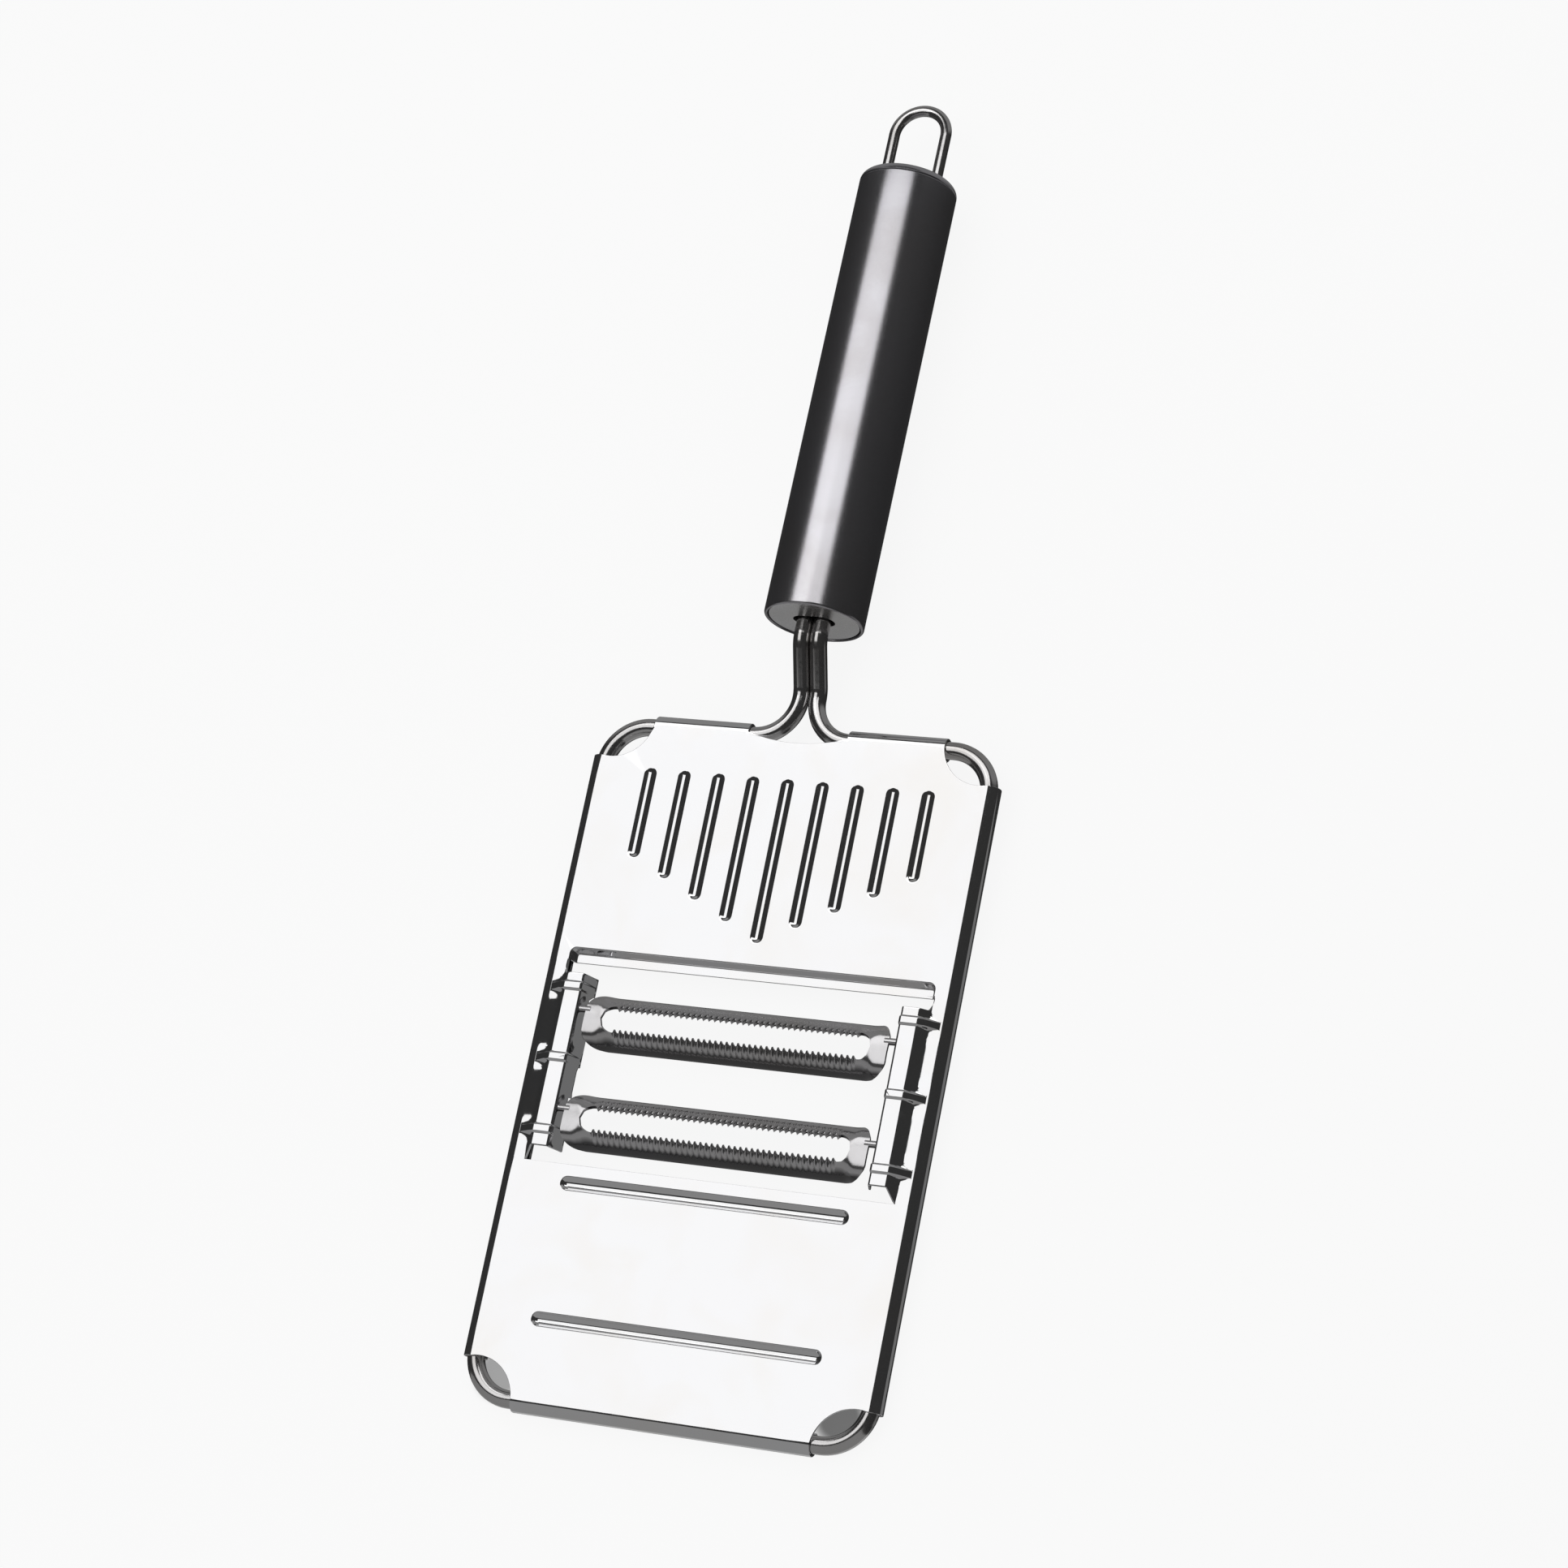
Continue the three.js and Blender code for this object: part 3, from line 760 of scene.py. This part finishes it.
def add_rolled_edge(surface, stations, along_x, side):
    """Sheet curled round the wire, at the given stations along one edge."""
    rows = []
    for angle in spread(90, ROLL_END, 26):
        a = math.radians(angle)
        out = ROLL_RADIUS * math.cos(a)
        z = WIRE_Z + ROLL_RADIUS * math.sin(a)
        if along_x:
            rows.append([(s, side * (WIRE_Y + out), z) for s in stations])
        else:
            rows.append([(side * (WIRE_X + out), s, z) for s in stations])
    surface.grid(rows)


def upper_outline(notch, high, far, lip):
    """The level sheet's outline on the handle's side of the window."""
    right = [(WIRE_X, y) for y in high[:-1]] + notch[:-1] + [(x, WIRE_Y) for x in far[:-1]]
    left = list(reversed(mirrored(right)))
    land = [(-x, WINDOW["lip"]) for x in LAND_X[1:-1]]
    window = list(reversed(lip))
    return right + neck_scallop() + left + land + window + list(reversed(mirrored(land)))


def lower_outline(notch, low, near):
    """The level sheet's outline on the far side of the window from the handle."""
    bottom = WINDOW["bottom"]
    right = [(x, -y) for x, y in reversed(notch[:-1])] + [(WIRE_X, y) for y in low[1:]]
    land = [(x, bottom) for x in LAND_X[1:]]
    edge = [(x, bottom) for x in spread(LAND_X[-1], -LAND_X[-1], 12)[1:-1]]
    left = list(reversed(mirrored(right)))
    foot = [(x, -WIRE_Y) for x in reversed(near)]
    return tidy_loop(right + land + edge + list(reversed(mirrored(land))) + left + foot)


def thicken(piece):
    """Gives the sheet its thickness, below the face that is drawn, and breaks its sharp edges."""
    skin = piece.modifiers.new("sheet", "SOLIDIFY")
    skin.thickness = SHEET
    skin.offset = -1
    skin.use_even_offset = True
    skin.use_quality_normals = True
    edges = piece.modifiers.new("deburred_edges", "BEVEL")
    edges.width = 0.11
    edges.segments = 2
    edges.limit_method = "ANGLE"
    edges.angle_limit = math.radians(62)
    edges.use_clamp_overlap = False
    apply_modifiers(piece)


def make_plate():
    """The stamped sheet, drawn as its upper face and then thickened."""
    surface = Surface()
    notch = notch_arc()
    side_end = -notch[0][1]
    cross_end = notch[-1][0]
    low = spread(side_end, WINDOW["bottom"], 8)
    high = spread(WINDOW["lip"], -side_end, 8)
    side = low + [y for y, _ in STATIONS][1:-1] + high
    far = spread(cross_end, NECK_NOTCH["half"], 6)
    near = spread(cross_end, -cross_end, 14)

    rows = bracket_rows()
    surface.grid(rows)
    surface.grid([mirrored(row) for row in rows])
    lip = add_window_lip(surface)
    ends = [notch[0], notch[-1], (NECK_NOTCH["half"], WIRE_Y)]
    upper = upper_outline(notch, high, far, lip)
    surface.flat(upper, long_grooves(surface), 0, ends + mirrored(ends))
    surface.flat(lower_outline(notch, low, near), cross_grooves(surface), 0)
    for sign in (-1, 1):
        add_rolled_edge(surface, side, False, sign)
        add_rolled_edge(surface, [sign * x for x in far], True, 1)
    add_rolled_edge(surface, near, True, -1)

    piece = surface.build("slicing_plate", Matrix.Identity(4), up=True)
    thicken(piece)
    piece.data.transform(TO_ROW)
    finish_piece(piece, polished_sheet, "frame", ["slicer_plate"])


# ------------------------------------------------------------------ blades


def blade_outline(x):
    """Half the blade's width in plan at X."""
    r = BLADE["corner"]
    half = BLADE["radius"] * math.sin(math.radians(BLADE["half_arc"]))
    beyond = max(0, abs(x) - BLADE["half"] + r)
    return half - r + math.sqrt(max(0, r * r - beyond * beyond))


def tooth(x, lean, v):
    """0 at a tooth's tip and 1 at the root beside it, for a row of teeth that lean with v."""
    return abs(math.sin(math.pi * (x - lean * v) / SLOT["pitch"]))


def slot_edges(x):
    """Plan Y of the slot's lower and upper edges at X."""
    middle = (SLOT["upper"] + SLOT["lower"]) / 2
    half = (SLOT["upper"] - SLOT["lower"]) / 2 + SLOT["depth"]
    if abs(x) >= SLOT["half"]:
        return middle, middle
    if abs(x) > TOOTHED_HALF:
        share = (abs(x) - TOOTHED_HALF) / (SLOT["half"] - TOOTHED_HALF)
        reach = half * math.sqrt(max(0, 1 - share * share))
        return middle - reach, middle + reach
    lower = SLOT["lower"] - SLOT["depth"] * tooth(x, 0, 0)
    upper = SLOT["upper"] + SLOT["depth"] * tooth(x, 0, 0)
    return lower, upper


def blade_section(s, share):
    """Plan Y and height on the outer face where it faces at angle s. The arch flattens with share."""
    radius = BLADE["radius"]
    round_v, round_z = radius * math.sin(s), radius * math.cos(s)
    crown, corner = BLADE["end_crown"], BLADE["end_shoulder"]
    turn = math.radians(BLADE["end_turn"])
    a = abs(s)
    if a <= turn:
        flat_v, drop = crown * math.sin(a), crown * (1 - math.cos(a))
    else:
        flat_v = crown * math.sin(turn) + corner * (math.sin(a) - math.sin(turn))
        drop = crown * (1 - math.cos(turn)) + corner * (math.cos(turn) - math.cos(a))
    flat_v = math.copysign(flat_v, s)
    v = round_v + (flat_v - round_v) * share
    z = round_z + (radius - drop - round_z) * share
    return v, z - BLADE["end_tilt"] * share * v


def facing_angle(v, share):
    """The angle at which the outer face looks at plan Y v."""
    low, high = 0.0, math.radians(84)
    for _ in range(30):
        middle = (low + high) / 2
        if blade_section(middle, share)[0] < abs(v):
            low = middle
        else:
            high = middle
    return math.copysign(low, v)


def blade_columns():
    """X of each column of the strip: ten to a tooth, and closer together towards the ends."""
    columns = set(spread(-TOOTHED_HALF, TOOTHED_HALF, SLOT["teeth"] * 10))
    ends = spread(TOOTHED_HALF, SLOT["half"], 6)[1:]
    start = SLOT["half"]
    for angle in spread(0, math.pi / 2, 16)[1:]:
        ends.append(start + (BLADE["half"] - start) * math.sin(angle))
    columns.update(ends)
    columns.update(-x for x in ends)
    return sorted(columns)


def flute_cut(x, v, edge, lean):
    """How far a ground flute goes into the outer face, at a distance from the toothed edge."""
    if abs(x) > TOOTHED_HALF:
        return 0
    away = abs(v - edge)
    place = "upper" if edge > 0 else "lower"
    run = max(0, 1 - away / FLUTE[place + "_length"])
    wave = min(1, 1.25 * tooth(x, lean, v - edge) ** 1.5)
    fade = smooth_step((TOOTHED_HALF - abs(x)) / 0.6)
    return FLUTE[place + "_depth"] * run * wave * fade


def blade_strip(surface, rows_count, upper):
    """One side of the blade: outer and inner faces between its outline and the slot, and rims."""
    strip = BLADE["strip"]
    outer_rows, inner_rows = [], []
    for x in blade_columns():
        low, high = slot_edges(x)
        edge = high if upper else low
        rim = blade_outline(x) * (1 if upper else -1)
        flatness = smooth_step((abs(x) - 29.2) / 3.2)
        start = facing_angle(rim, flatness)
        end = facing_angle(edge, flatness)
        lean = FLUTE["upper_lean"] if upper else FLUTE["lower_lean"]
        outer, under = [], []
        for j in range(rows_count + 1):
            share = j / rows_count
            s = start + (end - start) * (1 - (1 - share) ** 1.5)
            v, z = blade_section(s, flatness)
            cut = flute_cut(x, v, edge, lean)
            outer.append((x, v - cut * math.sin(s), z - cut * math.cos(s)))
            under.append((x, v - strip * math.sin(s), z - strip * math.cos(s)))
        outer_rows.append(outer)
        inner_rows.append(under)
    surface.grid(outer_rows)
    surface.grid(inner_rows)
    surface.grid([[row[0] for row in outer_rows], [row[0] for row in inner_rows]])
    slot = [i for i, row in enumerate(outer_rows) if abs(row[0][0]) <= SLOT["half"] + 1e-6]
    surface.grid([[outer_rows[i][-1] for i in slot], [inner_rows[i][-1] for i in slot]])
    for i in (0, -1):
        surface.grid([outer_rows[i], inner_rows[i]])


def add_pins(surface, pin_y, pin_z):
    """The two end pins, from inside the strip's ends outwards."""
    start, end, radius = BLADE["half"] - 1, BLADE["pin_end"], BLADE["pin_radius"]
    chamfer = 0.25
    profile = [(0, start), (radius, start), (radius, end - chamfer), (radius - chamfer, end), (0, end)]
    for side in (-1, 1):
        rings = []
        for r, x in profile:
            rings.append([(side * x, a, b) for a, b in arc(pin_y, pin_z, r, 0, 360, 24)[:-1]])
        surface.grid(rings, closed=True)


def make_blade(body, pivot):
    """An arched strip with a toothed slot along it, and a pin at each end."""
    orbit = BLADE["radius"] - BLADE["strip"] / 2
    angle = math.radians(BLADE["pin_angle"])
    pin_y, pin_z = orbit * math.sin(angle), orbit * math.cos(angle)
    place = TO_ROW @ Matrix.Translation((0, pivot - pin_y, BLADE["pin_height"] - pin_z))
    surface = Surface()
    blade_strip(surface, 12, False)
    blade_strip(surface, 12, True)
    piece = surface.build(body + "_strip", place)
    finish_piece(piece, ground_blade_painted_shade, body, [body], sharp=30)
    pins = Surface()
    add_pins(pins, pin_y, pin_z)
    stubs = pins.build(body + "_pins", place)
    finish_piece(stubs, ground_blade_painted_shade, body, [body])


# ------------------------------------------------------------------ handle


def make_handle_tube():
    """A drawn tube with its rims rounded over."""
    r, wall, rim = HANDLE["radius"], HANDLE["wall"], HANDLE["rim"]
    end = HANDLE["length"] - HANDLE["cap"] - HANDLE["seam"]
    profile = [(r - wall, 0.35), (r - wall + 0.1, 0.08), (r - rim, 0)]
    profile += arc(r - rim, rim, rim, -90, 0, 8)[1:]
    profile += [(r, y) for y in spread(rim, end - 0.2, 24)[1:]]
    profile += [(r - 0.06, end - 0.05), (r - 0.2, end), (r - wall, end)]
    profile.append((r - wall, 0.35))
    surface = Surface()
    turned(surface, profile)
    piece = surface.build("handle_shell", TO_ROW @ HANDLE_PLACE)
    finish_piece(piece, satin_handle, "frame", ["handle_tube"])


def make_front_cap():
    """A pressed disc inside the neck end, with one round-ended hole for the pair of wires."""
    outside, thickness = 0.3, 1.2
    radius = HANDLE["radius"] - HANDLE["wall"] - HANDLE["seam"]
    hole = WIRE_RADIUS + 0.8
    edge = 0.25

    def slot_ring(grow):
        right = arc(NECK["half_gap"], 0, hole + grow, -90, 90, 16)
        left = arc(-NECK["half_gap"], 0, hole + grow, 90, 270, 16)
        return right + left

    def rim_ring(shrink):
        return arc(0, 0, radius - shrink, 0, 360, 96)[:-1]

    surface = Surface()
    levels = [(edge, 0), (edge * 0.3, edge * 0.3), (0, edge), (0, thickness)]
    for ring in (slot_ring, rim_ring):
        surface.grid([[(x, outside + y, z) for x, z in ring(d)] for d, y in levels], closed=True)
    face = Surface()
    face.flat(rim_ring(edge), [slot_ring(edge)], outside)
    back = Surface()
    back.flat(rim_ring(0), [slot_ring(0)], outside + thickness)
    for part in (face, back):
        base = len(surface.points)
        surface.points.extend((x, z, y) for x, y, z in part.points)
        surface.faces.extend(tuple(base + i for i in f) for f in part.faces)
    piece = surface.build("neck_end_disc", TO_ROW @ HANDLE_PLACE)
    finish_piece(piece, satin_cap, "frame", ["handle_front_cap"])


def cap_profile(base):
    """Radius and Y from the spigot's inner end, round the button's edge, to the middle of its top."""
    r, length = HANDLE["radius"], HANDLE["length"]
    spigot = r - HANDLE["wall"] - HANDLE["seam"]
    profile = [(0, base - 3), (spigot, base - 3), (spigot, base), (r - 0.12, base), (r, base + 0.12)]
    profile += arc(r - 1.75, base + 0.12, 1.75, 0, 78, 9)[1:]
    edge, height = profile[-1]
    for t in spread(0, 1, 6)[1:]:
        profile.append((edge * (1 - t), height + (length - height) * (1 - (1 - t) ** 2)))
    return profile


def leg_cutter(low, high):
    """Two round bars along the legs of the loop, to drill their holes."""
    cutter = Surface()
    reach = LOOP["hole"]
    for side in (-1, 1):
        rings = []
        for radius, y in ((0, low), (reach, low), (reach, high), (0, high)):
            ring = arc(side * LOOP["half"], 0, radius, 0, 360, 32)[:-1]
            rings.append([(x, y, z) for x, z in ring])
        cutter.grid(rings, closed=True)
    return cutter.build("leg_holes", HANDLE_PLACE)


def make_rear_cap():
    """The closing button at the loop end, with a spigot inside the tube and a hole for each leg."""
    base = HANDLE["length"] - HANDLE["cap"]
    surface = Surface()
    turned(surface, cap_profile(base), 96)
    piece = surface.build("loop_end_button", HANDLE_PLACE)
    drill(piece, leg_cutter(base - 4, HANDLE["length"] + 1))
    piece.data.transform(TO_ROW)
    finish_piece(piece, satin_handle, "frame", ["handle_rear_cap"])


def make_loop():
    """The hanging loop: a U whose legs go through the rear cap."""
    top = HANDLE["length"] + LOOP["reach"]
    foot = HANDLE["length"] - LOOP["tail"]
    x, bend = LOOP["half"], LOOP["half"] - 0.01
    surface = Surface()
    corners = [((-x, foot, 0), 0), ((-x, top, 0), bend), ((x, top, 0), bend), ((x, foot, 0), 0)]
    rod(surface, corners, LOOP["radius"], 24)
    piece = surface.build("wire_hanging_loop", TO_ROW @ HANDLE_PLACE)
    finish_piece(piece, drawn_wire, "frame", ["hanging_loop"])


# ------------------------------------------------------------------ floor, lights and camera


def painted_contact_shade(tree):
    """How much of the floor's glow is left under the painted contact shadows, from none of them to
    their middles.
    """
    place = tree.nodes.new("ShaderNodeTexCoord")
    shades = []
    for x, y, depth in PAINTED_CONTACT_SHADOWS:
        centre = TO_ROW @ Vector((x, y, 0))
        away = tree.nodes.new("ShaderNodeVectorMath")
        away.operation = "DISTANCE"
        away.inputs[1].default_value = (centre.x, centre.y, 0)
        tree.links.new(place.outputs["Object"], away.inputs[0])
        shades.append(remap(tree, away.outputs["Value"], *SHADOW_RADII, start=1 - depth, smooth=True))
    return combine(tree, "MULTIPLY", *shades)


def make_floor():
    """A pale glowing floor that the steel does not mirror, with contact shadows painted into its glow.
    """
    mesh = bpy.data.meshes.new("floor")
    reach = FLOOR_REACH
    corners = [(-reach, -reach, 0), (reach, -reach, 0), (reach, reach, 0), (-reach, reach, 0)]
    mesh.from_pydata(corners, [], [(0, 1, 2, 3)])
    floor = bpy.data.objects.new("floor", mesh)
    bpy.context.scene.collection.objects.link(floor)
    material = bpy.data.materials.new("pale_floor")
    material.use_nodes = True
    tree = material.node_tree
    shader = tree.nodes["Principled BSDF"]
    shader.inputs["Base Color"].default_value = (0.06, 0.06, 0.06, 1)
    shader.inputs["Roughness"].default_value = 1
    shader.inputs["Specular IOR Level"].default_value = 0
    shader.inputs["Emission Strength"].default_value = FLOOR_GLOW
    # The glow carries shadows painted round the near corners.
    tree.links.new(painted_contact_shade(tree), shader.inputs["Emission Color"])
    mesh.materials.append(material)
    floor.visible_glossy = False


def panel(name, middle, size, turn, radiance):
    """A rectangular light that the camera does not see, in millimetres in the slicer's own frame."""
    light = bpy.data.lights.new(name, "AREA")
    light.shape = "RECTANGLE"
    light.size = size[0] / 1000
    light.size_y = size[1] / 1000
    light.energy = radiance * math.pi * light.size * light.size_y
    lamp = bpy.data.objects.new(name, light)
    place = Matrix.Translation([v / 1000 for v in middle])
    lamp.matrix_world = RIGID @ place @ Euler(turn).to_matrix().to_4x4()
    lamp.visible_camera = False
    bpy.context.scene.collection.objects.link(lamp)


def softbox(name, low, high, height, radiance):
    """A level panel over the slicer, from low to high in X and Y."""
    middle = ((low[0] + high[0]) / 2, (low[1] + high[1]) / 2, height)
    panel(name, middle, (high[0] - low[0], high[1] - low[1]), (0, 0, 0), radiance)


def make_lights():
    """Two softboxes, which the plate and the handle mirror, and two dim cards for the edges."""
    softbox("plate_softbox", low=(-430, -70), high=(-5, 335), height=617, radiance=1.06)
    softbox("handle_softbox", low=(-295, 222), high=(220, 450), height=400, radiance=1.3)
    upright = math.pi / 2
    panel("near_card", (-105, -130, -40), (450, 500), (upright, 0, 0), 0.22)
    panel("right_card", (250, -10, -190), (280, 240), (upright, 0, math.pi / 2), 0.13)


def fade(tree, value, start, end):
    """0 at start, 1 at end and smooth between, whichever of the two is higher."""
    if start < end:
        return remap(tree, value, start, end, smooth=True)
    return remap(tree, value, end, start, start=1.0, end=0.0, smooth=True)


def make_world():
    """A pale room for the camera. What the steel mirrors is dark, with two faint grey areas."""
    world = bpy.data.worlds.new("studio")
    world.use_nodes = True
    bpy.context.scene.world = world
    tree = world.node_tree
    output = tree.nodes["Background"]
    output.inputs["Color"].default_value = (1, 1, 1, 1)
    place = tree.nodes.new("ShaderNodeTexCoord")
    axes = tree.nodes.new("ShaderNodeSeparateXYZ")
    tree.links.new(place.outputs["Generated"], axes.inputs["Vector"])
    y, z = axes.outputs["Y"], axes.outputs["Z"]
    front = combine(tree, "MULTIPLY", fade(tree, y, -0.05, -0.3), fade(tree, z, -0.55, -0.8))
    behind = combine(tree, "MULTIPLY", fade(tree, y, 0.45, 0.65), fade(tree, z, 0.62, 0.45))
    areas = combine(tree, "MULTIPLY", combine(tree, "ADD", front, behind), MIRRORED_AREAS)
    mirrored_light = combine(tree, "ADD", areas, MIRRORED_BASE)
    path = tree.nodes.new("ShaderNodeLightPath")
    mix = tree.nodes.new("ShaderNodeMix")
    tree.links.new(path.outputs["Is Glossy Ray"], mix.inputs["Factor"])
    mix.inputs["A"].default_value = ROOM_GLOW
    tree.links.new(mirrored_light, mix.inputs["B"])
    tree.links.new(mix.outputs["Result"], output.inputs["Strength"])


def make_camera():
    """The photo's point of view."""
    camera = bpy.data.cameras.new("camera")
    camera.lens = CAMERA["lens"]
    camera.sensor_width = CAMERA["sensor"]
    viewer = bpy.data.objects.new("camera", camera)
    turn = Euler([math.radians(a) for a in CAMERA["turn"]], "XYZ").to_matrix().to_4x4()
    viewer.matrix_world = RIGID @ Matrix.Translation(CAMERA["place"]) @ turn
    bpy.context.scene.collection.objects.link(viewer)
    bpy.context.scene.camera = viewer


make_camera()
make_wire_frame()
make_plate()
for body_name, pivot_y in PIVOTS.items():
    make_blade(body_name, pivot_y)
make_handle_tube()
make_front_cap()
make_rear_cap()
make_loop()
make_floor()
make_world()
make_lights()
bpy.context.scene.view_settings.view_transform = "Standard"
